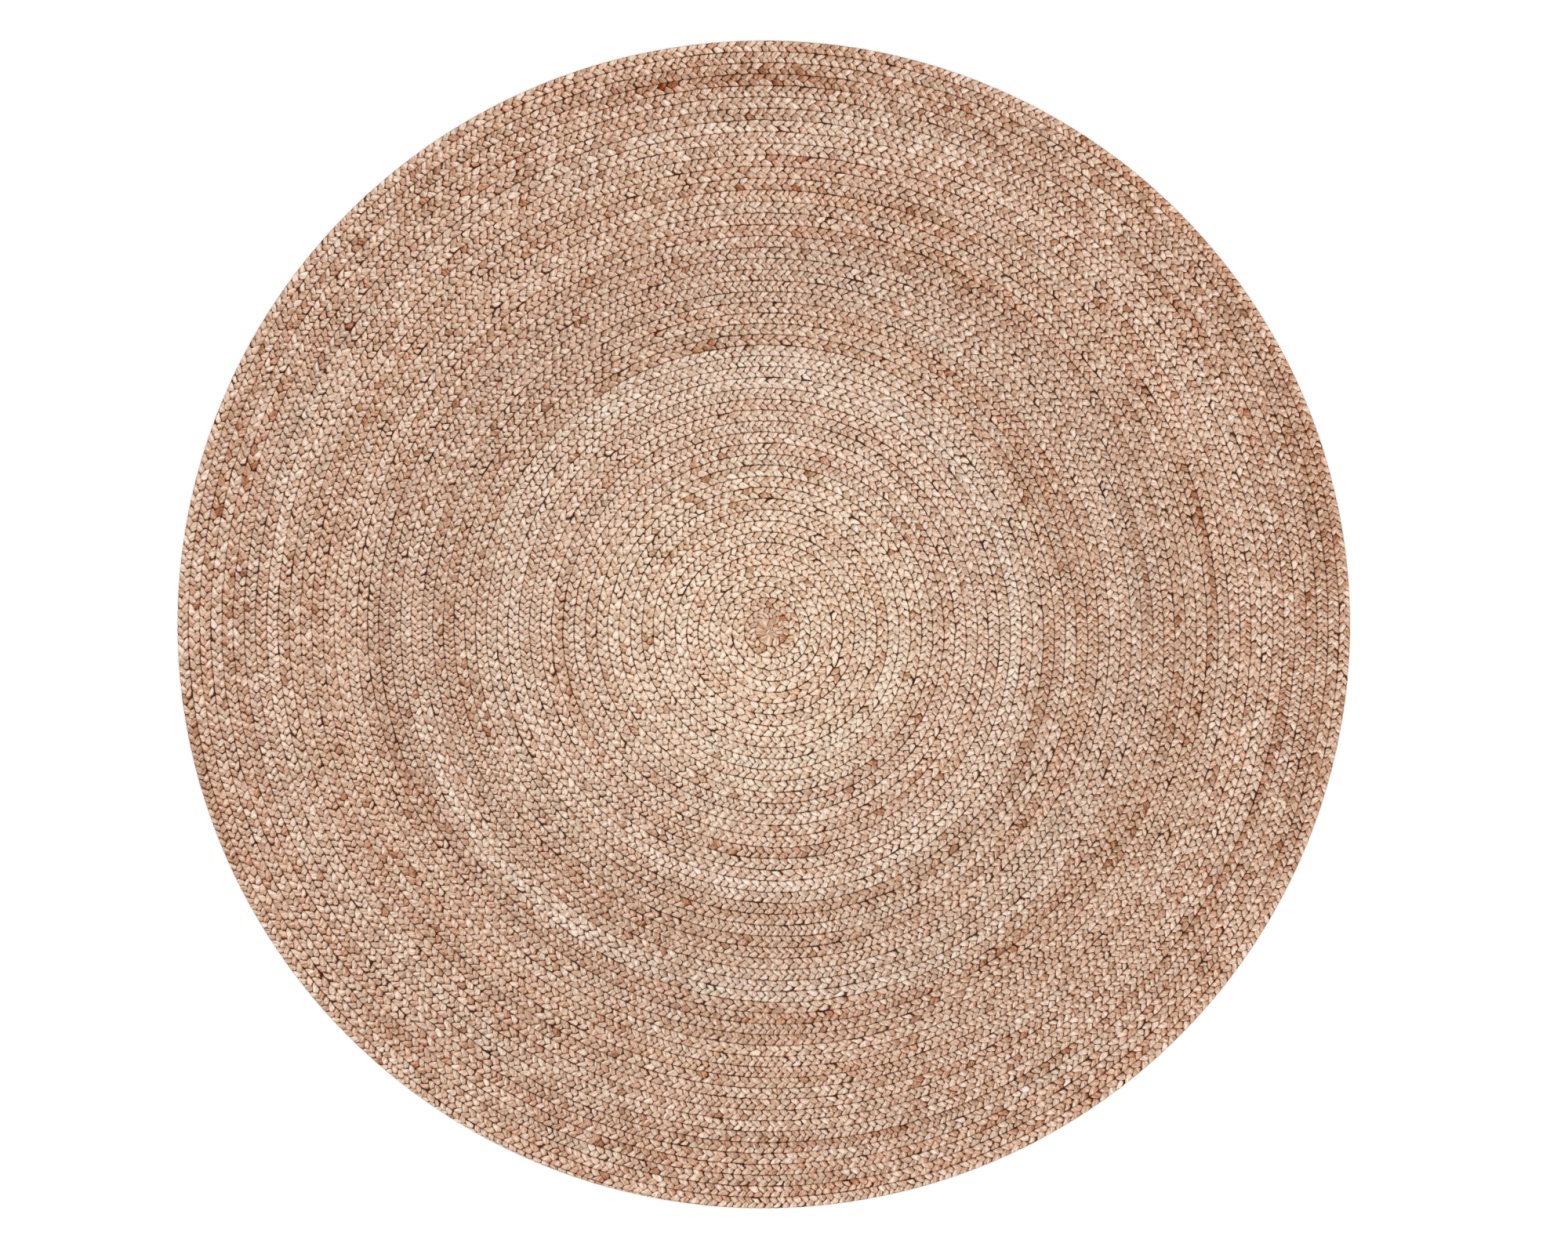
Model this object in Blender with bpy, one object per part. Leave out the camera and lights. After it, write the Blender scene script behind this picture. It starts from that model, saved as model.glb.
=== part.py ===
"""A round rug made of one flat jute braid, wound in a flat spiral and sewn edge to edge.

Metres, +Z up. The rug lies on the plane z = 0, with the centre of its rim at the origin.
The braid starts at the eye and winds outwards, anticlockwise as seen from above. Each turn's
inner edge is the outer edge of the turn before it, so one strip of faces closes on itself.
"""

import math

import bmesh
import bpy
from mathutils import Vector

RUG_DIAMETER = 1.800
BRAID_WIDTHS = 52.5
TURNS = 53

CROWN_HEIGHT = 0.0090
SEAM_HEIGHT = 0.0055
EYE_HEIGHT = 0.0075
RIM_HEIGHT = 0.0045
UNDERSIDE_INSET = 0.0040

TAIL_ANGLE = math.radians(270.0)
TAIL_SHARE = 0.14
EYE_TURN_WIDTHS = 1.5

EYE_DRIFT = Vector((0.0069, -0.0109))
OVAL_ALONG_X = 0.0033
OVAL_ALONG_DIAGONAL = -0.0095
THREE_LOBES = -0.0047

STEPS_A_TURN = 48
RIM_POINTS_A_STEP = 3
WELD_DISTANCE = 0.00001

JUTE_COLOUR = (0.527, 0.352, 0.254, 1.0)
JUTE_ROUGHNESS = 0.88

RUG_RADIUS = RUG_DIAMETER / 2
BRAID_WIDTH = RUG_RADIUS / BRAID_WIDTHS
STEPPED_FROM = 0.30
STEPPED_FULLY = 0.68
ROUND_FROM = 0.55 * RUG_RADIUS


def smooth_step(low, high, value):
    """0 below low, 1 above high, and an even curve between them."""
    share = min(max((value - low) / (high - low), 0.0), 1.0)
    return share * share * (3.0 - 2.0 * share)


def seam_radius(turn):
    """Radius of the seam on the inner side of the braid, after this many turns.

    Near the eye it grows evenly. Near the rim each turn runs at one radius and steps out by a
    braid's width as it passes the tail, so that the last turn tapers away into a round rim.
    """
    if turn <= 2.0:
        return EYE_TURN_WIDTHS * BRAID_WIDTH * max(turn - 1.0, 0.0)
    whole = math.floor(turn)
    evenly = BRAID_WIDTH * (turn - 0.5)
    in_steps = BRAID_WIDTH * (whole + smooth_step(1.0 - TAIL_SHARE, 1.0, turn - whole) - 0.5)
    share = smooth_step(STEPPED_FROM, STEPPED_FULLY, evenly)
    return min(evenly + share * (in_steps - evenly), RUG_RADIUS)


def seam_point(turn):
    """Place of the same seam in plan. The hand-wound coil is a little oval and off centre."""
    radius = seam_radius(turn)
    angle = TAIL_ANGLE + math.tau * turn
    unevenness = 1.0 - smooth_step(ROUND_FROM, RUG_RADIUS, radius)
    swell = OVAL_ALONG_X * math.cos(2 * angle) + OVAL_ALONG_DIAGONAL * math.sin(2 * angle)
    swell += THREE_LOBES * math.cos(3 * angle)
    outwards = Vector((math.cos(angle), math.sin(angle)))
    return unevenness * EYE_DRIFT + radius * (1.0 + unevenness * swell) * outwards


def seam_height(turn):
    """Height of the valley along that seam, from the eye to the outer edge of the rim."""
    from_eye = EYE_HEIGHT + (SEAM_HEIGHT - EYE_HEIGHT) * smooth_step(1.0, 2.0, turn)
    return from_eye + (RIM_HEIGHT - SEAM_HEIGHT) * smooth_step(TURNS - TAIL_SHARE, TURNS, turn)


def braid_point(turn, across):
    """A point on top of the braid: across is 0 at its inner seam, 0.5 on its crown and 1 outside."""
    inner = seam_point(turn)
    outer = seam_point(turn + 1.0)
    low = seam_height(turn) + across * (seam_height(turn + 1.0) - seam_height(turn))
    fullness = min((outer - inner).length / BRAID_WIDTH, 1.0)
    bulge = 4.0 * across * (1.0 - across) * fullness * (CROWN_HEIGHT - low)
    return inner.lerp(outer, across).to_3d() + Vector((0.0, 0.0, low + bulge))


def mark_sharp(edges):
    """Shade these edges as creases, such as the sewn seams between the rounds."""
    for edge in edges:
        edge.smooth = False


def wind_braid(mesh):
    """Lay a long strip, two faces wide, along the spiral and weld each turn to the last."""
    steps = TURNS * STEPS_A_TURN
    bmesh.ops.create_grid(mesh, x_segments=steps, y_segments=2, size=0.5)
    mark_sharp(edge for edge in mesh.edges if edge.is_boundary)
    for vertex in mesh.verts:
        step = round((vertex.co.x + 0.5) * steps)
        across = round((vertex.co.y + 0.5) * 2) / 2
        vertex.co = braid_point(step / STEPS_A_TURN, across)
    bmesh.ops.remove_doubles(mesh, verts=mesh.verts, dist=WELD_DISTANCE)


def round_off_rim(mesh):
    """Add points along the outer edge and push them out onto the circle."""
    rim = [edge for edge in mesh.edges if edge.is_boundary]
    added = bmesh.ops.subdivide_edges(mesh, edges=rim, cuts=RIM_POINTS_A_STEP - 1)["geom_inner"]
    for vertex in (item for item in added if isinstance(item, bmesh.types.BMVert)):
        vertex.co.xy = vertex.co.xy.normalized() * RUG_RADIUS


def close_underside(mesh):
    """Turn the rim under and fill the flat face that lies on the floor."""
    rim = [edge for edge in mesh.edges if edge.is_boundary]
    turned = bmesh.ops.extrude_edge_only(mesh, edges=rim)["geom"]
    for vertex in (item for item in turned if isinstance(item, bmesh.types.BMVert)):
        plan = vertex.co.to_2d()
        vertex.co = (plan * (1.0 - UNDERSIDE_INSET / plan.length)).to_3d()
    lower = [edge for edge in mesh.edges if edge.is_boundary]
    mark_sharp(lower)
    bmesh.ops.holes_fill(mesh, edges=lower, sides=0)
    bmesh.ops.recalc_face_normals(mesh, faces=mesh.faces)
    for face in mesh.faces:
        face.smooth = True


def jute_material():
    """Pale brown jute, dull all over."""
    material = bpy.data.materials.new("natural_jute")
    material.use_nodes = True
    shader = material.node_tree.nodes["Principled BSDF"]
    shader.inputs["Base Color"].default_value = JUTE_COLOUR
    shader.inputs["Roughness"].default_value = JUTE_ROUGHNESS
    shader.inputs["Metallic"].default_value = 0.0
    return material


def make_rug(collection):
    """The whole rug as one closed solid."""
    form = bmesh.new()
    wind_braid(form)
    round_off_rim(form)
    close_underside(form)
    data = bpy.data.meshes.new("braided_rug")
    form.to_mesh(data)
    form.free()
    data.materials.append(jute_material())
    collection.objects.link(bpy.data.objects.new("braided_rug", data))


def main():
    for item in list(bpy.data.objects):
        bpy.data.objects.remove(item, do_unlink=True)
    collection = bpy.data.collections.new("round_jute_rug")
    bpy.context.scene.collection.children.link(collection)
    make_rug(collection)


main()
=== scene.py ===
"""The looks of a round rug, wound from one flat three-strand jute braid and sewn edge to edge.

The braid is modelled lump by lump. A lump is the stretch of a strand that shows between two dips,
a slanting pad of combed fibre. The lumps lie in two rows, an outer and an inner one, which meet in
a zigzag along the middle of the braid, so that each round looks like a row of arrowheads. The
upper side and the underside are plaited in the same way. Metres, +Z up, rug on the plane z = 0.
"""

import math
from typing import NamedTuple

import bpy
import numpy as np
from bpy.props import FloatProperty, FloatVectorProperty, PointerProperty
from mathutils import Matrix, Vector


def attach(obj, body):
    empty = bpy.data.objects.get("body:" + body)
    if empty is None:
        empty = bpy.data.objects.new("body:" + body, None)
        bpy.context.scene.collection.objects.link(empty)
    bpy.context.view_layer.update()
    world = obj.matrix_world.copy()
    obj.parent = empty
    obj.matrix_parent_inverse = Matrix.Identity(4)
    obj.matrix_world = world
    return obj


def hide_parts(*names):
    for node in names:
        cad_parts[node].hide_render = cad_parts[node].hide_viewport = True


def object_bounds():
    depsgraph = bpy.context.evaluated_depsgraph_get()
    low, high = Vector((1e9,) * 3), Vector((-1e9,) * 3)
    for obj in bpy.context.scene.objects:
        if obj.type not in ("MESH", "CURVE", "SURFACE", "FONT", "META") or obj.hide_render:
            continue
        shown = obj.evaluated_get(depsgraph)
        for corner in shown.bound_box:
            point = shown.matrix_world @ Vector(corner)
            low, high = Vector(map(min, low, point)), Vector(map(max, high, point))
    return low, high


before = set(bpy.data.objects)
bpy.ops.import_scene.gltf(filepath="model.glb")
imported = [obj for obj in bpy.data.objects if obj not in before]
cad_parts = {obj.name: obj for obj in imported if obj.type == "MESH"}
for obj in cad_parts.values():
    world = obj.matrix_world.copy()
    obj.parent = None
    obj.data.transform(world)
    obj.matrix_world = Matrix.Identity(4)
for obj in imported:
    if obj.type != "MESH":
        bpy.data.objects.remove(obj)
cad_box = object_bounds()

bl_info = {
    "name": "Round jute rug",
    "version": (1, 0, 0),
    "blender": (4, 5, 0),
    "location": "3D View > Sidebar > Jute Rug",
    "description": "Plaits, winds and colours a round braided jute rug on its packed solid",
    "category": "Object",
}

RUG_NODE = "braided_rug"
STRETCHES = ("eye_to_round_26", "rounds_26_to_37", "rounds_37_to_45", "rounds_45_to_rim")
OUTER, INNER = 1, -1

# The coil, as the solid has it
RUG_RADIUS = (cad_box[1].x - cad_box[0].x) / 2
BRAID_WIDTHS = 52.5
BRAID_WIDTH = RUG_RADIUS / BRAID_WIDTHS
TURNS = 53
TAIL_ANGLE = math.radians(270.0)
TAIL_SHARE = 0.14
EYE_TURN_WIDTHS = 1.5
EYE_DRIFT = np.array((0.0069, -0.0109))
OVAL_ALONG_X = 0.0033
OVAL_ALONG_DIAGONAL = -0.0095
THREE_LOBES = -0.0047
STEPPED_FROM = 0.30
STEPPED_FULLY = 0.68
ROUND_FROM = 0.55 * RUG_RADIUS

# Where the braid departs a little from the solid: it widens sooner in the eye, its inmost rounds
# lie further up and to the right, and its rim is slightly oval
EYE_FULLNESS = 0.55
INMOST_DRIFT = np.array((0.0035, 0.0035))
INMOST_REACH = 0.080
OVAL_RIM = 0.0020

# Top of the knob in the middle of the eye
EYE_PLACE = (*(EYE_DRIFT + INMOST_DRIFT), 0.008)

# Turns of the coil over which something grows or ends near the eye
LUMPS_LENGTHEN = (0.1, 0.8)
LUMPS_REACH_FULL_LENGTH = (1.0, 2.4)
SQUEEZE_ENDS = (0.6, 1.8)
KNOB_ENDS = (0.85, 1.1)
EYE_SWELL_ENDS = (0.8, 2.6)
SHALLOW_SEAM_ENDS = (1.0, 1.35)
STRAY_GROWS = (1.0, 1.3)
# Over these turns the painted shade in the gaps and pits deepens
GAPS_DEEPEN = (1.0, 3.2)

# The same in the last turn, whose outer edge is the rim and whose end thins away into the tail
STRAY_ENDS = (TURNS - 1.1, TURNS - 1.0)
RIM_BEGINS = (TURNS - 1.04, TURNS - 0.96)
OUTER_ROW_TUCKS = (TURNS - TAIL_SHARE, TURNS - 0.2 * TAIL_SHARE)
THINS_AFTER = TURNS - 0.5
FULLY_THICK_WIDTH = 0.7

# How finely the braid is measured, and how finely a lump is made: its columns along the braid and
# its rows from the middle to the seam
MARKS_A_TURN = 360
TOP_COLUMNS = (0.0, 0.13, 0.5, 0.87)
TOP_ROWS = (0.14, 0.5, 0.84, 1.0)
UNDER_COLUMNS = (0.0, 0.5)
UNDER_ROWS = (0.5, 1.0)

# How the lumps are spaced: lengths as shares of the usual one, and waves counted in lumps
KNOB_LENGTH = 0.68
FIRST_ROUND_LENGTH = 0.80
THIN_LENGTH = 0.70
LENGTH_LIMITS = (0.68, 1.35)
LENGTH_WAVE = 12
INNER_END_SHARE = 0.44
INNER_END_SPREAD = 0.11
LEAN_SPREAD = 0.25

# Form of a lump. Swells and shifts are shares of the braid's width, and the roll is in metres
SIDE_ROUNDNESS = 2.5
CREASE_CURVE = 0.60
CREASE_SPREAD = 0.5
LEAST_SWELL = 0.004
EYE_SWELL = 0.08
RIM_SWELL = 0.2
SQUEEZED_IN = 0.17
TUCKED_UNDER = 0.36
ROLL = -0.0010
STRAYS_A_LUMP = 1.3

# Unevenness of the zigzag where the rows meet: shares of its swing and of the rise to the crown,
# and metres along the braid and up
SWING_SPREAD = 0.2
MIDDLE_BULGE = 0.12
CROSSING_STRAY = 0.0007
CROSSING_SPREAD = 0.0004

# Seeds of the hand's unevenness, one for each thing that varies
PITCH_SEED = 11
SEAM_SEED = 17
FORM_SEED = 23
YARN_SEED = 37
UNDERSIDE_SEED = 53

# Drift of the yarn along the three strands, in waves with a strength and a length in lumps, and
# how much of it is each strand's own
STRANDS = 3
STRAND_WAVES = ((0.55, 4), (0.6, 22), (0.6, 120))
DRIFTS = ("tone", "hue")
OWN_DRIFT = 0.75
SHARED_DRIFT = 0.66

# Variation from lump to lump: contrast, which doubles towards the rim, single rusty lumps, and
# how warmth and hue go with the tone
ROW_TONE = 0.006
CALM_CONTRAST = 0.8
CONTRAST_GROWS = (0.70, 0.92)
RUSTY_TONE = -0.12
RUSTY_WARMTH = 0.4
RUSTY_SHARE = 0.008
RUSTY_SHARE_IN_DARK_YARN = 0.06
DARK_YARN = -0.8
WARMTH_SPREAD = 0.25
WARMTH_DRIFT = 0.45
WARMTH_OF_TONE = 3.5
MEAN_TONE = 0.645
HUE_OF_WARMTH = 0.0045
# The least chance number, kept in the eye, where it also makes the painted shade of gaps and pits
# lighter, and how much of the painted seam shade fades along the rim
LEAST_CHANCE = 0.15
RIM_SEAM_FADE = 0.8

# Edges of a run of yarn: shares of its width, and degrees along the coil
PATCH_EDGE = (0.42, 0.58)
PATCH_END = 4.0

# Margins of the folded map, as metres of braid and as shares of the map and of a row
MAP_SPARE_LENGTH = 0.02
MAP_SIDE_MARGIN = 0.04
MAP_ROW_MARGIN = 0.03


class Ramp(NamedTuple):
    """A range of values and the range that it is stretched to."""

    low: float
    high: float
    to_low: float
    to_high: float


# Painted shade in the gap round a lump and in the pits at its corners, from 0 at its middle to 1
# at its edge. The lump goes under the next one and down into the seam, so the shade is wider there
SIDE_GAP = (0.86, 1.02)
END_GAP = (0.84, 1.0)
CORNER_PIT = (0.54, 0.98)
SIDE_GOES_UNDER = 0.08
END_GOES_UNDER = 0.10
MIDDLE_TO_SEAM = (0.2, 0.8)
MIDDLE_GAP = 0.60
GAP_WOBBLE = Ramp(0.3, 0.7, -0.10, 0.12)

# A few lumps get a wider band of near-black painted shade on their far side, like an open slit
SLIT_LUMPS = (0.974, 0.980)
SLIT_SIDE = (0.9, 1.3)
SLIT_WIDTH = 0.22
SLIT_DARKNESS = 3.0

# How dark the painted shade in the gaps and pits is, from lump to lump, from place to place and near
# the eye, where distances are in metres and noise is counted in waves to a metre
GAP_DEPTHS = (0.6, 1.4)
PIT_DEPTHS = (1.0, 3.4)
DEEP_PIT_LUMPS = (0.88, 0.98)
LOOSENESS_WAVES = 24.0
LOOSENESS = Ramp(0.35, 0.65, 0.45, 1.4)
GAPS_NEAR_EYE = Ramp(0.004, 0.032, 0.15, 1.0)
PITS_NEAR_EYE = Ramp(0.004, 0.032, 0.3, 1.0)
DARKEST_TONE = 0.16

# How strongly the painted shade in the seams shows, in short lengths and in long arcs, and what is
# left of it where the seams are loosest, which is more near the eye
SHORT_SEAM_WAVES = 45.0
SHORT_SEAMS = (0.35, 0.65)
TIGHT_SHORT_SEAM = 1.10
LONG_SEAM_WAVES = 8.0
LONG_SEAMS = (0.38, 0.62)
TIGHT_LONG_SEAM = 1.25
LOOSEST_SEAM = Ramp(0.25, 0.55, 0.85, 0.30)

# Fibres and blotches within a lump, counted to a lump
LUMP_STEP = 60.0
FIBRES_ACROSS = 5.5
FIBRES_ALONG = 1.2
FIBRE_FAN = 0.12
FIBRE_SLANT = -0.3
BLOTCHES = 2.6
BLOTCH_TONE = Ramp(0.7, 0.3, -0.05, 0.05)
STREAKS = (0.25, 0.75)
# Where along a lump its painted highlight, where it rises, turns into painted shade, where it goes
# under the next
FLANKS = (0.2, 0.9)

# Finish of the fibre: bump in metres, and how saturation and roughness vary
WARMTH_SATURATION = 0.10
GAP_DIP = -0.8
BUMP_STRENGTH = 0.6
BUMP_DEPTH = 0.0005
ROUGHNESS_OVER = (0.2, 0.8)
ROUGHNESS_SPREAD = 0.08
SPECULAR = 0.12
SHEEN_ROUGHNESS = 0.5

# The stage
FLOOR_REACH = 30.0
FLOOR_ROUGHNESS = 0.9
OVERHEAD_SPREAD = math.radians(40.0)
OVERHEAD_HEIGHT = 8.0
SENSOR_WIDTH = 36.0
FARTHEST_SEEN = 100.0


class YarnPatch(NamedTuple):
    """A run of paler or darker yarn: where on the coil it lies and how much it changes the tone."""

    round: float
    first_angle: float
    last_angle: float
    rounds_wide: float
    tone: float


# Mean tone of the yarn from the eye to the rim: share of the radius, tone from 0 to 1
TONE_FROM_EYE = (
    (0.00, 0.595), (0.02, 0.665), (0.05, 0.690), (0.09, 0.715), (0.13, 0.700),
    (0.17, 0.715), (0.20, 0.680), (0.24, 0.710), (0.28, 0.690), (0.31, 0.665),
    (0.35, 0.655), (0.45, 0.664), (0.46, 0.642), (0.50, 0.634), (0.56, 0.615),
    (0.60, 0.632), (0.64, 0.602), (0.69, 0.611), (0.74, 0.628), (0.785, 0.617),
    (0.82, 0.638), (0.87, 0.615), (0.93, 0.615), (0.97, 0.610), (1.00, 0.635),
)

# Mean hue of the yarn: share of the radius, hue where 0.5 leaves it alone and less is redder
HUE_FROM_EYE = (
    (0.00, 0.4990), (0.03, 0.5060), (0.09, 0.5070), (0.14, 0.5055), (0.20, 0.5045),
    (0.27, 0.5050), (0.30, 0.5000), (0.35, 0.4995), (0.43, 0.4985), (0.50, 0.5000),
    (0.57, 0.4985), (0.64, 0.4975), (0.75, 0.5000), (0.80, 0.4985), (0.90, 0.4980),
    (1.00, 0.4995),
)

# Mean warmth of the yarn: share of the radius, warmth from greyer than usual to browner
WARMTH_FROM_EYE = (
    (0.00, 0.0), (0.04, 0.8), (0.07, 0.0), (0.14, 0.4), (0.20, 0.3),
    (0.24, -0.1), (0.33, 0.2), (0.44, -0.4), (0.58, 0.0), (0.63, -0.6),
    (0.69, 0.3), (0.80, 0.1), (0.88, -0.2), (0.98, 0.4), (1.00, 0.0),
)

# Runs of darker or paler yarn, from the eye to the rim, angles in degrees from +X anticlockwise
YARN_PATCHES = (
    YarnPatch(3.6, 0, 45, 0.7, -0.06),
    YarnPatch(3.1, 60, 120, 0.6, -0.04),
    YarnPatch(7.1, 275, 315, 0.8, -0.04),
    YarnPatch(10.8, 0, 75, 0.8, -0.035),
    YarnPatch(11.3, 95, 150, 0.8, -0.05),
    YarnPatch(10.8, 172, 192, 0.7, -0.05),
    YarnPatch(13.9, 310, 345, 0.5, -0.045),
    YarnPatch(15.2, 70, 130, 0.6, -0.06),
    YarnPatch(18.3, 158, 216, 1.3, -0.05),
    YarnPatch(18.3, 290, 315, 0.6, -0.045),
    YarnPatch(19.0, 25, 52, 0.6, -0.045),
    YarnPatch(19.8, 265, 290, 0.8, -0.035),
    YarnPatch(22.4, 8, 45, 1.0, -0.045),
    YarnPatch(24.5, 195, 230, 0.5, -0.09),
    YarnPatch(25.1, 235, 360, 1.4, -0.055),
    YarnPatch(27.6, 0, 38, 2.0, -0.065),
    YarnPatch(27.8, 90, 140, 0.8, -0.035),
    YarnPatch(28.6, 160, 205, 0.7, -0.035),
    YarnPatch(28.0, 225, 330, 1.5, -0.035),
    YarnPatch(30.0, 20, 52, 0.8, -0.07),
    YarnPatch(32.9, 190, 360, 1.0, 0.035),
    YarnPatch(35.1, 0, 22, 0.7, -0.08),
    YarnPatch(35.0, 235, 340, 0.8, -0.07),
    YarnPatch(35.3, 80, 235, 0.8, -0.035),
    YarnPatch(35.8, 195, 206, 0.6, -0.09),
    YarnPatch(36.8, 255, 360, 1.2, -0.04),
    YarnPatch(37.1, 15, 82, 0.8, -0.06),
    YarnPatch(40.8, 0, 18, 0.5, -0.08),
    YarnPatch(40.6, 64, 112, 0.5, -0.07),
    YarnPatch(41.5, 208, 252, 0.6, -0.07),
    YarnPatch(44.6, 0, 360, 1.3, 0.025),
    YarnPatch(46.5, 262, 352, 0.7, -0.10),
    YarnPatch(46.6, 72, 175, 0.5, -0.04),
    YarnPatch(48.5, 243, 262, 0.8, -0.06),
    YarnPatch(50.0, 333, 352, 1.5, -0.05),
    YarnPatch(50.2, 224, 231, 1.5, -0.06),
    YarnPatch(50.4, 86, 106, 1.0, -0.08),
    YarnPatch(51.3, 2, 40, 2.6, -0.03),
    YarnPatch(52.7, 188, 206, 0.9, -0.09),
)

# Jute from the darkest shadow between the lumps to the palest fibre: tone, then sRGB from 0 to 255
JUTE_COLOURS = (
    (0.12, (58, 29, 14)),
    (0.27, (109, 65, 39)),
    (0.43, (145, 103, 76)),
    (0.59, (181, 143, 117)),
    (0.75, (214, 184, 161)),
    (0.92, (244, 224, 207)),
)


class BraidSizes(bpy.types.PropertyGroup):
    """Form of the braid and of the lumps that its strands make."""

    lump_length: FloatProperty(
        name="Lump length", default=0.0141, min=0.008, unit="LENGTH",
        description="Length of braid that one lump of a strand takes up",
    )
    unevenness: FloatProperty(
        name="Unevenness", default=0.12, max=0.2, subtype="FACTOR",
        description="How much the lumps differ in length, as a share",
    )
    lean: FloatProperty(
        name="Lean", default=0.0040, unit="LENGTH",
        description="How far back along the braid a crease leans between the middle and the seam",
    )
    crown_height: FloatProperty(
        name="Crown height", default=cad_box[1].z, unit="LENGTH",
        description="Height of a lump's top above the floor",
    )
    middle_height: FloatProperty(
        name="Middle height", default=0.0065, unit="LENGTH",
        description="Height of the line where the two rows of lumps meet",
    )
    seam_height: FloatProperty(
        name="Seam height", default=0.0035, unit="LENGTH",
        description="Height of the valley between two rounds and of the rim",
    )
    crease_share: FloatProperty(
        name="Crease share", default=0.22, subtype="FACTOR",
        description="How far the crease between two lumps rises, as a share of the crown",
    )
    zigzag: FloatProperty(
        name="Zigzag", default=0.15, subtype="FACTOR",
        description="How far the middle line swings to each side, as a share of the width",
    )
    swell: FloatProperty(
        name="Swell", default=0.022, subtype="FACTOR",
        description="How far a lump swells over the seam at its middle, as a share of the width",
    )
    seam_stray: FloatProperty(
        name="Seam stray", default=0.030, subtype="FACTOR",
        description="How far the seams stray to each side, as a share of the width",
    )
    scallop: FloatProperty(
        name="Scallop", default=0.0010, unit="LENGTH",
        description="Depth of the dips between lumps along the rim",
    )


class YarnLooks(bpy.types.PropertyGroup):
    """Colour and surface of the jute, and the painted shade and highlight on its lumps."""

    tone_shift: FloatProperty(
        name="Tone shift", default=0.093,
        description="Makes all the yarn paler or darker",
    )
    lump_spread: FloatProperty(
        name="Lump spread", default=0.025,
        description="How much the tone differs from one lump to the next",
    )
    strand_spread: FloatProperty(
        name="Strand spread", default=0.023,
        description="How much the tone drifts along each strand",
    )
    # Painted shade between the lumps: how much the tone is darkened deep in the gaps
    painted_gap_shade: FloatProperty(
        name="Gap darkness", default=0.41,
        description="How much darker the fibre is deep between the lumps",
    )
    # Painted shade in the pits at a lump's corners, on top of the shade in the gap
    painted_pit_shade: FloatProperty(
        name="Pit darkness", default=0.64,
        description="How much darker still the pits at a lump's corners are",
    )
    # Painted highlight where a lump rises and painted shade where it goes under the next one
    painted_flank_light: FloatProperty(
        name="Flank paleness", default=0.06,
        description="How much paler a lump is where it rises than where it goes under the next",
    )
    fibre_contrast: FloatProperty(
        name="Fibre contrast", default=0.46,
        description="How much the tone differs from fibre to fibre within a lump",
    )
    roughness: FloatProperty(
        name="Roughness", default=0.85, subtype="FACTOR",
        description="Roughness of the combed fibre",
    )
    sheen: FloatProperty(
        name="Sheen", default=0.05, subtype="FACTOR",
        description="Soft sheen of the fine fibre ends",
    )


class StageLooks(bpy.types.PropertyGroup):
    """Floor, light and camera."""

    floor_colour: FloatVectorProperty(
        name="Floor colour", default=(0.95, 0.95, 0.95), subtype="COLOR",
        description="Colour of the plain floor",
    )
    sky: FloatProperty(
        name="Sky", default=0.60,
        description="Strength of the even light from all around",
    )
    overhead: FloatProperty(
        name="Overhead light", default=0.54,
        description="Light that the floor gets from straight overhead, as a share of white",
    )
    lens: FloatProperty(
        name="Lens", default=100.0,
        description="Focal length of the camera in millimetres",
    )
    frame_width: FloatProperty(
        name="Frame width", default=2.4128, unit="LENGTH",
        description="Width of floor that the picture shows",
    )
    frame_centre: FloatVectorProperty(
        name="Frame centre", default=(0.0311, -0.0041), size=2, unit="LENGTH",
        description="Point of the floor at the middle of the picture",
    )


class RugSettings(bpy.types.PropertyGroup):
    """All that a user may change."""

    braid: PointerProperty(type=BraidSizes)
    yarn: PointerProperty(type=YarnLooks)
    stage: PointerProperty(type=StageLooks)


def smooth_step(low, high, value):
    """0 below low, 1 above high, and an even curve between them."""
    share = np.clip((value - low) / (high - low), 0.0, 1.0)
    return share * share * (3.0 - 2.0 * share)


def seam_radius(turn):
    """Radius of the seam on the inner side of the braid, after this many turns."""
    whole = np.floor(turn)
    evenly = BRAID_WIDTH * (turn - 0.5)
    in_steps = BRAID_WIDTH * (whole + smooth_step(1.0 - TAIL_SHARE, 1.0, turn - whole) - 0.5)
    share = smooth_step(STEPPED_FROM, STEPPED_FULLY, evenly)
    wound = np.minimum(evenly + share * (in_steps - evenly), RUG_RADIUS)
    at_eye = EYE_TURN_WIDTHS * BRAID_WIDTH * np.maximum(turn - 1.0, 0.0) ** EYE_FULLNESS
    return np.where(turn <= 2.0, at_eye, wound)


def seam_point(turn):
    """Places of the same seam in plan, as an array of x and y."""
    radius = seam_radius(turn)
    angle = TAIL_ANGLE + math.tau * turn
    unevenness = 1.0 - smooth_step(ROUND_FROM, RUG_RADIUS, radius)
    swell = OVAL_ALONG_X * np.cos(2 * angle) + OVAL_ALONG_DIAGONAL * np.sin(2 * angle)
    swell += THREE_LOBES * np.cos(3 * angle)
    outwards = np.stack((np.cos(angle), np.sin(angle)), axis=-1)
    reach = radius * (1.0 + unevenness * swell + OVAL_RIM * np.cos(2 * angle))
    inmost = 1.0 - smooth_step(0.0, INMOST_REACH, radius)
    drift = unevenness[..., None] * EYE_DRIFT + inmost[..., None] * INMOST_DRIFT
    return drift + reach[..., None] * outwards


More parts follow.
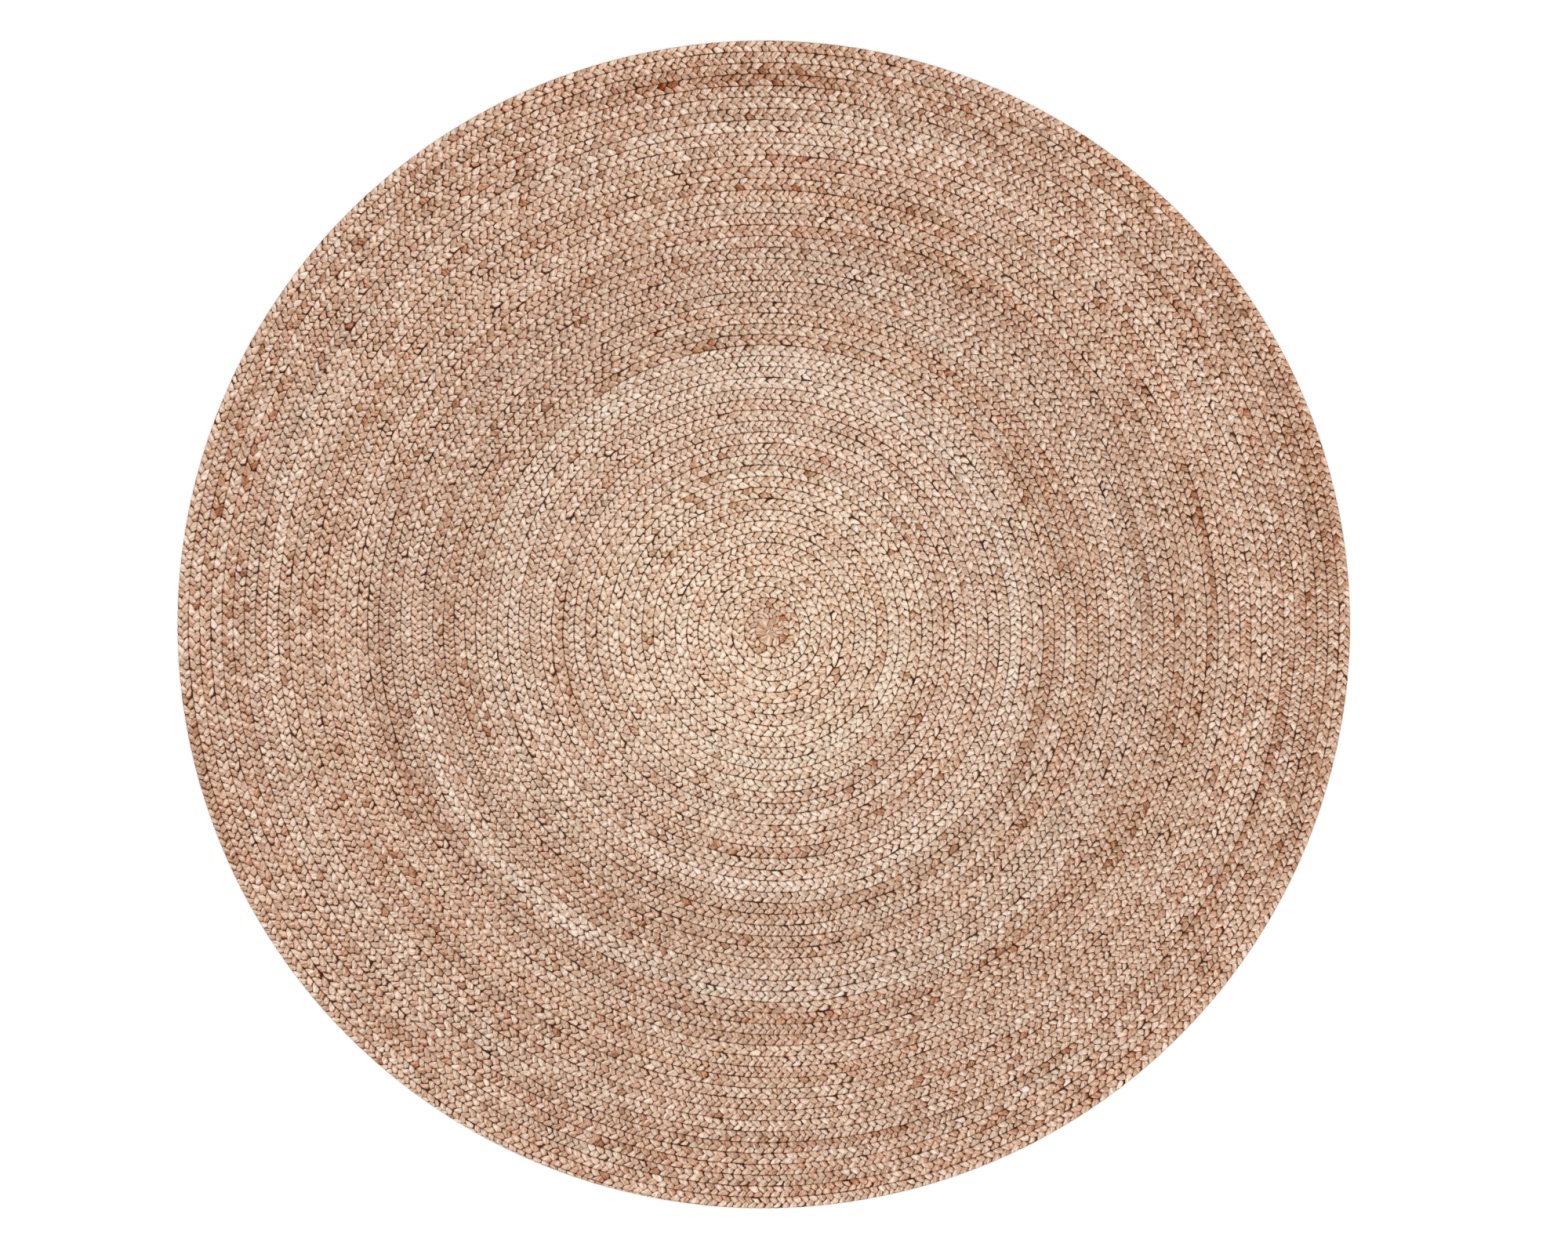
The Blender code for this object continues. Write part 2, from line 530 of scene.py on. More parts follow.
def measure_braid():
    """Turns of the coil and the length of braid wound by then, from the eye to the tail."""
    turns = np.linspace(0.0, TURNS, TURNS * MARKS_A_TURN + 1)
    centre = (seam_point(turns) + seam_point(turns + 1.0)) / 2
    steps = np.linalg.norm(np.diff(centre, axis=0), axis=1)
    return turns, np.concatenate(([0.0], np.cumsum(steps)))


TURN_MARKS, LENGTH_MARKS = measure_braid()
BRAID_LENGTH = LENGTH_MARKS[-1]


def turn_at(along):
    """Turn of the coil at a length along the braid."""
    return np.interp(along, LENGTH_MARKS, TURN_MARKS)


def width_share(turn):
    """Width of the braid there, as a share of its full width. It narrows in the eye and the tail."""
    width = np.linalg.norm(seam_point(turn + 1.0) - seam_point(turn), axis=-1)
    return np.minimum(width / BRAID_WIDTH, 1.0)


def place_on_braid(along, across):
    """Plan places at a length along the braid and a share across it, 0 inside and 1 outside."""
    turn = turn_at(along)
    inner = seam_point(turn)
    return inner + (seam_point(turn + 1.0) - inner) * across[..., None]


def wandering(chance, count, reach):
    """Random ups and downs about reach lumps long, with a spread of 1."""
    window = np.hanning(2 * reach + 1)
    level = np.convolve(chance.standard_normal(count + 2 * reach), window, mode="valid")
    return level / level.std()


def drift_of_strand(chance, count):
    """A strand's ups and downs along its length, in short, middling and long waves."""
    return sum(share * wandering(chance, count, reach) for share, reach in STRAND_WAVES)


class Plait(NamedTuple):
    """Where the lumps of each row end, as lengths along the braid, and how far each crease leans."""

    outer: np.ndarray
    inner: np.ndarray
    lean: np.ndarray


def lump_length_share():
    """Length of a lump at each mark: less in the tight eye and where the tail is thin."""
    share = KNOB_LENGTH + (FIRST_ROUND_LENGTH - KNOB_LENGTH) * smooth_step(*LUMPS_LENGTHEN, TURN_MARKS)
    share += (1.0 - FIRST_ROUND_LENGTH) * smooth_step(*LUMPS_REACH_FULL_LENGTH, TURN_MARKS)
    return share * (THIN_LENGTH + (1.0 - THIN_LENGTH) * width_share(TURN_MARKS))


def plait_strands(sizes):
    """Space out the lumps along the braid, those of the inner row about half a lump behind."""
    chance = np.random.default_rng(PITCH_SEED)
    eased = np.concatenate(([0.0], np.cumsum(np.diff(LENGTH_MARKS) / lump_length_share()[1:])))
    count = round(eased[-1] / sizes.lump_length)
    uneven = wandering(chance, count, LENGTH_WAVE) + chance.standard_normal(count)
    steps = np.clip(1.0 + sizes.unevenness * uneven, *LENGTH_LIMITS)
    marks = np.concatenate(([0.0], np.cumsum(steps))) * eased[-1] / steps.sum()
    outer = np.interp(marks, eased, LENGTH_MARKS)
    shares = INNER_END_SHARE + INNER_END_SPREAD * chance.uniform(-1.0, 1.0, count)
    inner = np.concatenate(([outer[0]], outer[:-1] + shares * np.diff(outer)))
    lean = 1.0 + LEAN_SPREAD * chance.standard_normal(count + 1)
    return Plait(outer, inner, lean)


def lean_at(along, sizes):
    """How far the creases lean at a length along the braid, less where it is narrow."""
    return sizes.lean * width_share(turn_at(along))


def turn_under(plait, sizes):
    """The same plait as the underside shows it, where the creases end behind their seams."""
    ends = [
        np.clip(row - 2 * plait.lean * lean_at(row, sizes), 0, BRAID_LENGTH)
        for row in (plait.outer, plait.inner)
    ]
    return Plait(*ends, plait.lean)


def middle_share(turn):
    """Where the two rows meet, as a share of the way across the braid.

    In the eye the inner row is squeezed narrow, and in the tail the outer row is tucked under.
    """
    squeezed = 1.0 - smooth_step(*SQUEEZE_ENDS, turn)
    tucked = smooth_step(*OUTER_ROW_TUCKS, turn)
    return 0.5 - SQUEEZED_IN * squeezed + TUCKED_UNDER * tucked


def zigzag_at(turn, sizes):
    """How far the middle line swings to each side, less where it runs near an edge."""
    middle = middle_share(turn)
    return sizes.zigzag * 2.0 * np.minimum(middle, 1.0 - middle)


def tail_fullness(turn, share):
    """1 along the braid, falling to 0 where this share of its width thins away in the tail."""
    thickness = smooth_step(0.0, FULLY_THICK_WIDTH, share * width_share(turn))
    return np.where(turn < THINS_AFTER, 1.0, thickness)


def in_knob(turn, side):
    """1 in the inner row of the first round, which closes up to one round knob, and 0 elsewhere."""
    return (side == INNER) * (1.0 - smooth_step(*KNOB_ENDS, turn))


def at_rim(turn, side):
    """1 in the outer row of the last turn, which makes the rim, and 0 elsewhere."""
    return smooth_step(*RIM_BEGINS, turn) * (side == OUTER)


def seam_share(side):
    """Where a row's seam lies across the braid: 1 for the outer row and 0 for the inner one."""
    return 0.5 + 0.5 * side


def at_shallow_seam(turn, side):
    """1 at the shallow seam round the knob of the eye, and 0 from there outwards."""
    return 1.0 - smooth_step(*SHALLOW_SEAM_ENDS, turn + seam_share(side))


def dome(share):
    """Round cross-section of a lump: 0 at its two sides and 1 in the middle."""
    return np.sqrt(np.clip(1.0 - np.abs(2.0 * share - 1.0) ** SIDE_ROUNDNESS, 0.0, 1.0))


def swing(column):
    """Which way the middle line swings along a lump: out at its ends and in at its middle."""
    return np.abs(4.0 * column - 2.0) - 1.0


def seam_wander(turn, sizes):
    """How far a seam strays from its even spiral, as a share of the braid's width."""
    chance = np.random.default_rng(SEAM_SEED)
    marks = np.linspace(0.0, BRAID_LENGTH, round(BRAID_LENGTH / sizes.lump_length * STRAYS_A_LUMP))
    turns = turn_at(marks)
    stray = sizes.seam_stray * chance.standard_normal(len(marks))
    stray *= smooth_step(*STRAY_GROWS, turns) * (1.0 - smooth_step(*STRAY_ENDS, turns))
    return np.interp(np.interp(turn, TURN_MARKS, LENGTH_MARKS), marks, stray)


class LumpForm(NamedTuple):
    """One side of the braid: heights, unevenness and how finely the lumps are made."""

    columns: tuple
    rows: tuple
    lean: float
    crown: float
    middle: float
    seam: float
    eye: float
    crown_spread: float
    tilt: float


def between(values, lump, share):
    """Values at a share of the way from each lump's first end to its last."""
    return values[lump] + share * (values[lump + 1] - values[lump])


def row_edge(side, turn, at_seam, middle, column, sizes):
    """Where a row's edge lies across the braid: swollen over the seam, or scalloped at the rim."""
    seam = seam_share(side)
    rim = at_rim(turn, side)
    in_eye = 1.0 - smooth_step(*EYE_SWELL_ENDS, turn + seam)
    shallow = at_shallow_seam(turn, side)
    bulge = (sizes.swell + EYE_SWELL * in_eye) * dome(column)
    swell = LEAST_SWELL + bulge * np.abs(seam - middle) / 0.5
    dip = sizes.scallop / BRAID_WIDTH * (RIM_SWELL - np.maximum(swing(column), 0.0))
    stray = seam_wander(turn_at(at_seam) + seam, sizes)
    return seam + (1.0 - rim) * (1.0 - shallow) * side * swell + rim * dip + stray


def lay_row(side, plait, ends, form, sizes, chance):
    """Points of one whole row of lumps: length along, share across and height, row by row."""
    count = len(ends) - 1
    lump = np.append(np.repeat(np.arange(count), len(form.columns)), count - 1)
    column = np.append(np.tile(form.columns, count), 1.0)
    crowns = form.crown + form.crown_spread * chance.standard_normal(count)
    creases = form.crown + CREASE_SPREAD * form.crown_spread * chance.standard_normal(count + 1)
    tilt_along, tilt_across = form.tilt * chance.standard_normal((2, count))
    straight = between(ends, lump, column)
    lean = form.lean * between(plait.lean, lump, column) * lean_at(straight, sizes)
    turn = turn_at(straight)
    middle = middle_share(turn) + side * zigzag_at(turn, sizes) * swing(column)
    edge = row_edge(side, turn, straight - lean, middle, column, sizes)
    at_crease = (column == 0.0) | (column == 1.0)
    top = np.where(at_crease, between(creases, lump, column), crowns[lump])
    full = tail_fullness(turn, 2.0 * np.abs(seam_share(side) - middle_share(turn)))
    middle_height = form.seam + (form.middle - form.seam) * tail_fullness(turn, 1.0)
    seam_height = form.seam + (form.eye - form.seam) * at_shallow_seam(turn, side)
    rise = sizes.crease_share + (1.0 - sizes.crease_share) * dome(column)
    rise += (1.0 - rise) * in_knob(turn, side)
    along, across, height = [], [], []
    for row in form.rows:
        border = middle_height + (seam_height - middle_height) * row
        tilt = (ROLL + tilt_along[lump]) * (column - 0.5) + tilt_across[lump] * (row - 0.5)
        along.append(np.clip(straight - lean * row**CREASE_CURVE, 0.0, BRAID_LENGTH))
        across.append(middle * (1.0 - row) + edge * row)
        height.append(border + full * dome(row) * (rise * (top - border) + dome(column) * tilt))
    return np.array(along), np.array(across), np.array(height)


def lay_middle(plait, form, sizes, chance):
    """Points of the zigzag line where the two rows meet: length along, share across, height."""
    half = len(form.columns) // 2
    count = len(plait.outer) - 1
    corners = np.empty(2 * count + 2)
    corners[0::2] = plait.inner
    corners[1::2] = plait.outer
    marks = np.arange((2 * count + 1) * half + 1) / half
    along = np.interp(marks, np.arange(len(corners)), corners)
    turn = turn_at(along)
    swings = 1.0 - 2.0 * np.abs((marks + 1.0) % 2.0 - 1.0)
    swings += SWING_SPREAD * chance.standard_normal(len(marks))
    across = middle_share(turn) - zigzag_at(turn, sizes) * swings
    along[1:-1] += CROSSING_STRAY * chance.standard_normal(len(marks) - 2)
    height = form.middle + CROSSING_SPREAD * chance.standard_normal(len(marks))
    height += MIDDLE_BULGE * (form.crown - form.middle) * np.isclose(marks % 2.0, 0.5)
    height = form.seam + (height - form.seam) * tail_fullness(turn, 1.0)
    return along, across, height


def add_patches(tone, round_number, angle):
    """Add the runs of paler and darker yarn to the tone of each lump."""
    for patch in YARN_PATCHES:
        off_round = np.abs(round_number - patch.round) / patch.rounds_wide
        fade = 1.0 - smooth_step(*PATCH_EDGE, off_round)
        fade *= smooth_step(patch.first_angle - PATCH_END, patch.first_angle + PATCH_END, angle)
        fade *= 1.0 - smooth_step(patch.last_angle - PATCH_END, patch.last_angle + PATCH_END, angle)
        tone += patch.tone * fade


def yarn_numbers(side, ends, looks, chance, strands, sizes):
    """For each lump of a row: tone, warmth, hue, a chance number that also sets the depth of its
    painted shade, and how far its end is sewn down, which sets how much painted shade its seam gets.
    """
    count = len(ends) - 1
    along = (ends[:-1] + ends[1:] - lean_at(ends[:-1], sizes)) / 2
    turn = turn_at(along)
    across = np.full(count, 0.5 + 0.25 * side)
    place = place_on_braid(along, across)
    angle = np.degrees(np.arctan2(place[:, 1], place[:, 0])) % 360.0
    from_eye = np.linalg.norm(place, axis=1) / RUG_RADIUS
    tone = np.interp(from_eye, *zip(*TONE_FROM_EYE))
    add_patches(tone, turn + across - angle / 360.0, angle)
    strand = (np.arange(count) + (side == INNER)) % STRANDS
    drift, hue_drift = strands[:, strand, np.arange(count)]
    tone += looks.strand_spread * drift - ROW_TONE * side
    plain = 1.0 - in_knob(turn, side)
    contrast = CALM_CONTRAST * (1.0 + smooth_step(*CONTRAST_GROWS, from_eye))
    tone += looks.lump_spread * contrast * chance.standard_normal(count) * plain
    rusty_share = np.where(drift < DARK_YARN, RUSTY_SHARE_IN_DARK_YARN, RUSTY_SHARE)
    rusty = chance.random(count) < rusty_share * plain
    tone += RUSTY_TONE * rusty
    warmth = WARMTH_SPREAD * chance.standard_normal(count) + WARMTH_DRIFT * hue_drift
    warmth += RUSTY_WARMTH * rusty - WARMTH_OF_TONE * (tone - MEAN_TONE)
    warmth += np.interp(from_eye, *zip(*WARMTH_FROM_EYE))
    hue = np.interp(from_eye, *zip(*HUE_FROM_EYE)) - HUE_OF_WARMTH * warmth
    # The chance number sets how dark the painted shade of a lump's gaps and pits is. It stays small
    # near the eye, so that shade is lighter there
    deepened = smooth_step(*GAPS_DEEPEN, turn + across)
    own_chance = chance.random(count) * (LEAST_CHANCE + (1.0 - LEAST_CHANCE) * deepened)
    # How much painted shade the lump's seam end gets, less along the rim, which has no round sewn on
    # outside
    sewn = 1.0 - RIM_SEAM_FADE * at_rim(turn, side)
    return np.stack((tone + looks.tone_shift, warmth, hue, own_chance, sewn), axis=1)


def lay_side(plait, form, sizes, looks, seed):
    """All the points and yarn numbers of one side of the braid."""
    chance = np.random.default_rng(seed)
    ends = {OUTER: plait.outer, INNER: plait.inner}
    rows = {side: lay_row(side, plait, ends[side], form, sizes, chance) for side in ends}
    middle = lay_middle(plait, form, sizes, chance)
    chance = np.random.default_rng(YARN_SEED + seed)
    count = len(plait.outer) - 1
    own = [[drift_of_strand(chance, count) for _ in range(STRANDS)] for _ in DRIFTS]
    shared = [[drift_of_strand(chance, count)] for _ in DRIFTS]
    strands = OWN_DRIFT * np.array(own) + SHARED_DRIFT * np.array(shared)
    yarn = {side: yarn_numbers(side, ends[side], looks, chance, strands, sizes) for side in ends}
    return rows, middle, yarn


def quads_between(lower, upper):
    """Faces of a strip between two lines of points, seen from above with lower on the inside."""
    return np.stack((lower[:-1], upper[:-1], upper[1:], lower[1:]), axis=1)


class Strip(NamedTuple):
    """Faces of one row of lumps, each lump's own map on them, and the lump that each belongs to."""

    faces: np.ndarray
    strand_map: np.ndarray
    lumps: np.ndarray


def weave_faces(side, lines, form, count):
    """Faces of one row of lumps, from the middle line to the seam, with each lump's own map."""
    columns = np.append(form.columns, 1.0)
    middle = np.linspace(0.0, 1.0, len(columns))
    lump = np.repeat(np.arange(count), len(form.columns))
    place = np.tile(np.arange(len(form.columns)), count)
    heights = (0.0,) + form.rows
    faces, maps = [], []
    for row, (lower, upper) in enumerate(zip(lines[:-1], lines[1:])):
        faces.append(quads_between(lower, upper))
        near = middle if row == 0 else columns
        along = np.stack((near[place], columns[place], columns[place + 1], near[place + 1]), axis=1)
        corner_heights = (heights[row], heights[row + 1], heights[row + 1], heights[row])
        across = np.broadcast_to(corner_heights, along.shape)
        maps.append(np.stack((along, across), axis=2))
    faces, maps = np.concatenate(faces), np.concatenate(maps)
    if side == INNER:
        faces, maps = faces[:, ::-1], maps[:, ::-1]
    return Strip(faces, maps, np.tile(lump, len(form.rows)))


def fold_map(along, across, lump_start):
    """Places on a square map where the stretch of braid lies folded up in even rows."""
    first, last = lump_start.min(), lump_start.max() + MAP_SPARE_LENGTH
    rows = round(math.sqrt((last - first) / BRAID_WIDTH))
    row_length = (last - first) / rows
    row = np.clip(((lump_start - first) // row_length), 0, rows - 1)[:, None]
    x = MAP_SIDE_MARGIN + (1.0 - 2.0 * MAP_SIDE_MARGIN) * ((along - first) / row_length - row)
    within_row = MAP_ROW_MARGIN + (1.0 - 2.0 * MAP_ROW_MARGIN) * np.clip(across, 0.0, 1.0)
    return np.stack((np.clip(x, 0.0, 1.0), (row + within_row) / rows), axis=2)


def braid_mesh(name, points, faces):
    """A smooth mesh of these points and four-sided faces."""
    mesh = bpy.data.meshes.new(name)
    mesh.vertices.add(len(points))
    mesh.vertices.foreach_set("co", points.astype(np.float32).ravel())
    mesh.loops.add(faces.size)
    mesh.loops.foreach_set("vertex_index", faces.astype(np.int32).ravel())
    mesh.polygons.add(len(faces))
    mesh.polygons.foreach_set("loop_start", np.arange(0, faces.size, 4, dtype=np.int32))
    mesh.update(calc_edges=True)
    mesh.polygons.foreach_set("use_smooth", np.ones(len(faces), dtype=bool))
    return mesh


def crease_edges(mesh, in_crease):
    """Mark sharp every edge that runs along a crease, so that each lump is shaded by itself."""
    ends = np.empty(len(mesh.edges) * 2, dtype=np.int32)
    mesh.edges.foreach_get("vertices", ends)
    sharp = in_crease[ends.reshape(-1, 2)].all(axis=1)
    mesh.attributes.new("sharp_edge", "BOOLEAN", "EDGE").data.foreach_set("value", sharp)


def lay_maps(mesh, strand_map, folded):
    """Give the mesh each lump's own map, which the jute uses, and one map of the whole stretch."""
    for name, places in (("strand", strand_map), ("OFBake", folded)):
        layer = mesh.uv_layers.new(name=name)
        layer.uv.foreach_set("vector", places.astype(np.float32).ravel())
    mesh.uv_layers["strand"].active_render = True
    mesh.uv_layers.active = mesh.uv_layers["strand"]


def tell_yarn(mesh, numbers):
    """Keep each face's yarn numbers on it for the jute to read."""
    numbers = numbers.astype(np.float32)
    yarn = mesh.attributes.new("yarn", "FLOAT_VECTOR", "FACE")
    yarn.data.foreach_set("vector", numbers[:, :3].ravel())
    for name, values in zip(("chance", "sewn"), numbers[:, 3:].T):
        mesh.attributes.new(name, "FLOAT", "FACE").data.foreach_set("value", values.copy())


def gather_points(rows, middle, on_rows, on_middle):
    """Length, share across and height of a stretch's points: its middle line, then its rows."""
    gathered = []
    for axis, line in enumerate(middle):
        sides = [rows[side][axis][:, on_rows].ravel() for side in (OUTER, INNER)]
        gathered.append(np.concatenate([line[on_middle], *sides]))
    return gathered


def plait_stretch(name, first, last, side_laid, form, material, facing_down=False):
    """One stretch of braid, from its first lump to before its last, as a mesh object."""
    rows, middle, yarn = side_laid
    per_lump = len(form.columns)
    half = per_lump // 2
    count = last - first
    on_middle = slice(per_lump * first, per_lump * last + half + 1)
    on_rows = slice(per_lump * first, per_lump * last + 1)
    along, across, height = gather_points(rows, middle, on_rows, on_middle)
    middle_points = per_lump * count + half + 1
    row_points = np.arange(middle_points, len(along)).reshape(2, len(form.rows), -1)
    outer_middle = np.arange(half, middle_points)
    strips = [
        weave_faces(OUTER, [outer_middle, *row_points[0]], form, count),
        weave_faces(INNER, [outer_middle - half, *row_points[1]], form, count),
    ]
    faces = np.concatenate([strip.faces for strip in strips])
    strand_map = np.concatenate([strip.strand_map for strip in strips])
    lumps = [first + strip.lumps for strip in strips]
    numbers = np.concatenate((yarn[OUTER][lumps[0]], yarn[INNER][lumps[1]]))
    lump_start = rows[OUTER][0][0, per_lump * np.concatenate(lumps)]
    if facing_down:
        faces, strand_map = faces[:, ::-1], strand_map[:, ::-1]
    points = np.column_stack((place_on_braid(along, across), height))
    mesh = braid_mesh(name, points, faces)
    in_crease = np.zeros(len(along), dtype=bool)
    in_crease[:middle_points] = True
    in_crease[row_points[..., ::per_lump]] = True
    crease_edges(mesh, in_crease)
    lay_maps(mesh, strand_map, fold_map(along[faces], across[faces], lump_start))
    tell_yarn(mesh, numbers)
    mesh.materials.append(material)
    mesh.validate()
    mesh.update()
    piece = bpy.data.objects.new(name, mesh)
    bpy.context.scene.collection.objects.link(piece)
    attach(piece, "root")
    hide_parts(RUG_NODE)
    return piece


class Nodes:
    """A material's node tree, with short words for the nodes that the jute uses."""

    def __init__(self, material):
        material.use_nodes = True
        self.tree = material.node_tree
        self.shader = self.tree.nodes["Principled BSDF"]

    def add(self, kind, **settings):
        """A new node with these settings."""
        node = self.tree.nodes.new(kind)
        for name, value in settings.items():
            setattr(node, name, value)
        return node

    def feed(self, node, **inputs):
        """Give a node's inputs, named with _ for a space, a number or another node's output."""
        for name, value in inputs.items():
            self.give(node.inputs[name.replace("_", " ")], value)
        return node

    def give(self, socket, value):
        """Link an output to a socket, or set the socket to a number."""
        if isinstance(value, bpy.types.NodeSocket):
            self.tree.links.new(value, socket)
        else:
            socket.default_value = value

    def math(self, operation, *values):
        """Result of a sum on numbers or outputs."""
        node = self.add("ShaderNodeMath", operation=operation)
        for socket, value in zip(node.inputs, values):
            self.give(socket, value)
        return node.outputs["Value"]

    def spread(self, value, low, high, to_low, to_high):
        """A value's range from low to high stretched to another range."""
        node = self.add("ShaderNodeMapRange")
        self.feed(node, Value=value, From_Min=low, From_Max=high, To_Min=to_low, To_Max=to_high)
        return node.outputs["Result"]

    def split(self, vector):
        """The three numbers of a vector."""
        return self.feed(self.add("ShaderNodeSeparateXYZ"), Vector=vector).outputs

    def told(self, name, kind):
        """A value that each face of the mesh keeps."""
        return self.add("ShaderNodeAttribute", attribute_name=name).outputs[kind]

    def noise(self, place, scale, detail):
        """Soft noise from about 0 to 1."""
        node = self.add("ShaderNodeTexNoise")
        self.feed(node, Vector=place, Scale=scale, Detail=detail)
        return node.outputs["Fac"]


def linear(colour):
    """A screen colour from 0 to 255 as the linear colour that a material uses, by sRGB's curve."""
    shares = np.array(colour) / 255.0
    low, high = shares / 12.92, ((shares + 0.055) / 1.055) ** 2.4
    return (*np.where(shares <= 0.04045, low, high), 1.0)


class LumpOutputs:
    """Outputs that tell where a point lies on its lump and on the rug, and its lump's numbers."""

    def __init__(self, nodes):
        own_map = nodes.add("ShaderNodeUVMap", uv_map="strand")
        self.along, self.across, _ = nodes.split(own_map.outputs["UV"])
        self.tone, self.warmth, self.hue = nodes.split(nodes.told("yarn", "Vector"))
        self.chance = nodes.told("chance", "Fac")
        self.sewn = nodes.told("sewn", "Fac")
        self.place = nodes.add("ShaderNodeTexCoord").outputs["Object"]
        distance = nodes.add("ShaderNodeVectorMath", operation="DISTANCE")
        nodes.feed(distance, Vector=self.place)
        distance.inputs[1].default_value = EYE_PLACE
        self.from_eye = distance.outputs["Value"]


def own_place(nodes, lump, x, y):
    """A place for noise at x and y on a lump, far from the places of other lumps."""
    place = nodes.add("ShaderNodeCombineXYZ")
    nodes.feed(place, X=x, Y=y, Z=nodes.math("MULTIPLY", lump.chance, LUMP_STEP))
    return place.outputs["Vector"]


def comb_fibres(nodes, lump):
    """Fibres combed along the strand, slightly fanned, as noise drawn out along them."""
    across_fibres = nodes.math("MULTIPLY_ADD", lump.across, FIBRE_FAN, lump.along)
    along_fibres = nodes.math("MULTIPLY_ADD", lump.along, FIBRE_SLANT, lump.across)
    x = nodes.math("MULTIPLY", across_fibres, FIBRES_ACROSS)
    y = nodes.math("MULTIPLY", along_fibres, FIBRES_ALONG)
    return nodes.noise(own_place(nodes, lump, x, y), 1.0, 3.0)


def blotch_lumps(nodes, lump):
    """Soft blotches within each lump."""
    return nodes.noise(own_place(nodes, lump, lump.along, lump.across), BLOTCHES, 2.0)


def painted_seam_shade(nodes, lump):
    """How strongly the painted shade in the seams shows, which comes and goes in short lengths and in
    long arcs.
    """
    loosest = nodes.spread(lump.from_eye, *LOOSEST_SEAM)
    short_waves = nodes.noise(lump.place, SHORT_SEAM_WAVES, 1.0)
    long_waves = nodes.noise(lump.place, LONG_SEAM_WAVES, 1.0)
    short_lengths = nodes.spread(short_waves, *SHORT_SEAMS, loosest, TIGHT_SHORT_SEAM)
    long_arcs = nodes.spread(long_waves, *LONG_SEAMS, loosest, TIGHT_LONG_SEAM)
    return nodes.math("MULTIPLY", nodes.math("MULTIPLY", lump.sewn, short_lengths), long_arcs)


def open_slit(nodes, lump):
    """Mask of a slit of painted shade: 1 on the far side of a few lumps, as if they stood off their
    neighbours, and 0 elsewhere.
    """
    stands_off = nodes.spread(lump.chance, *SLIT_LUMPS, 0.0, 1.0)
    far_side = nodes.spread(nodes.math("ADD", lump.along, lump.across), *SLIT_SIDE, 0.0, 1.0)
    return nodes.math("MULTIPLY", stands_off, far_side)


def lump_edge(nodes, lump, wobble, sewn):
    """Masks from 0 to 1 of the painted shade in the gap round a lump and in the pits at its corners.
    """
    from_side = nodes.math("ABSOLUTE", nodes.math("MULTIPLY_ADD", lump.along, 2.0, -1.0))
    from_end = nodes.math("ABSOLUTE", nodes.math("MULTIPLY_ADD", lump.across, 2.0, -1.0))
    to_side = nodes.math("MULTIPLY_ADD", lump.along, SIDE_GOES_UNDER, from_side)
    to_end = nodes.math("MULTIPLY_ADD", lump.across, END_GOES_UNDER, from_end)
    side = nodes.math("ADD", to_side, wobble)
    end = nodes.math("ADD", to_end, wobble)
    end_strength = nodes.spread(lump.across, *MIDDLE_TO_SEAM, MIDDLE_GAP, sewn)
    side_gap = nodes.spread(side, *SIDE_GAP, 0.0, 1.0)
    end_gap = nodes.spread(end, *END_GAP, 0.0, end_strength)
    side_pit = nodes.spread(side, *CORNER_PIT, 0.0, 1.0)
    end_pit = nodes.spread(end, *CORNER_PIT, 0.0, 1.0)
    return nodes.math("MAXIMUM", side_gap, end_gap), nodes.math("MULTIPLY", side_pit, end_pit)


def gap_depth(nodes, lump, slit, looks):
    """Tone that the painted shade in the gaps takes away: more round some lumps, in loose places and
    in the slits.
    """
    least, most = (-depth * looks.painted_gap_shade for depth in GAP_DEPTHS)
    depth = nodes.spread(lump.chance, 0.0, 1.0, least, most)
    looseness = nodes.spread(nodes.noise(lump.place, LOOSENESS_WAVES, 2.0), *LOOSENESS)
    in_slit = nodes.math("MULTIPLY_ADD", slit, SLIT_DARKNESS, 1.0)
    for share in (looseness, in_slit, nodes.spread(lump.from_eye, *GAPS_NEAR_EYE)):
        depth = nodes.math("MULTIPLY", depth, share)
    return depth


def pit_depth(nodes, lump, looks):
    """Tone that the painted shade in the pits takes away: much more at the corners of a few lumps."""
    least, most = (-depth * looks.painted_pit_shade for depth in PIT_DEPTHS)
    depth = nodes.spread(lump.chance, *DEEP_PIT_LUMPS, least, most)
    return nodes.math("MULTIPLY", depth, nodes.spread(lump.from_eye, *PITS_NEAR_EYE))


def top_tone(nodes, lump, fibres, blotches, looks):
    """Tone of a lump's top: its own, with a painted highlight where it rises and painted shade where
    it goes under the next, streaked by fibres and blotched.
    """
    flank = nodes.spread(lump.along, *FLANKS, looks.painted_flank_light, -looks.painted_flank_light)
    streaks = nodes.spread(fibres, *STREAKS, -looks.fibre_contrast / 2, looks.fibre_contrast / 2)
    streaked = nodes.math("ADD", nodes.math("ADD", lump.tone, flank), streaks)
    return nodes.math("ADD", streaked, nodes.spread(blotches, *BLOTCH_TONE))


def jute_ramp(nodes, tone):
    """Jute's colour at a tone, from the painted shade of the gaps to the palest fibre."""
    ramp = nodes.add("ShaderNodeValToRGB")
    stops = ramp.color_ramp.elements
    while len(stops) < len(JUTE_COLOURS):
        stops.new(0.5)
    for stop, (place, colour) in zip(stops, JUTE_COLOURS):
        stop.position = place
        stop.color = linear(colour)
    nodes.give(ramp.inputs["Fac"], tone)
    return ramp.outputs["Color"]


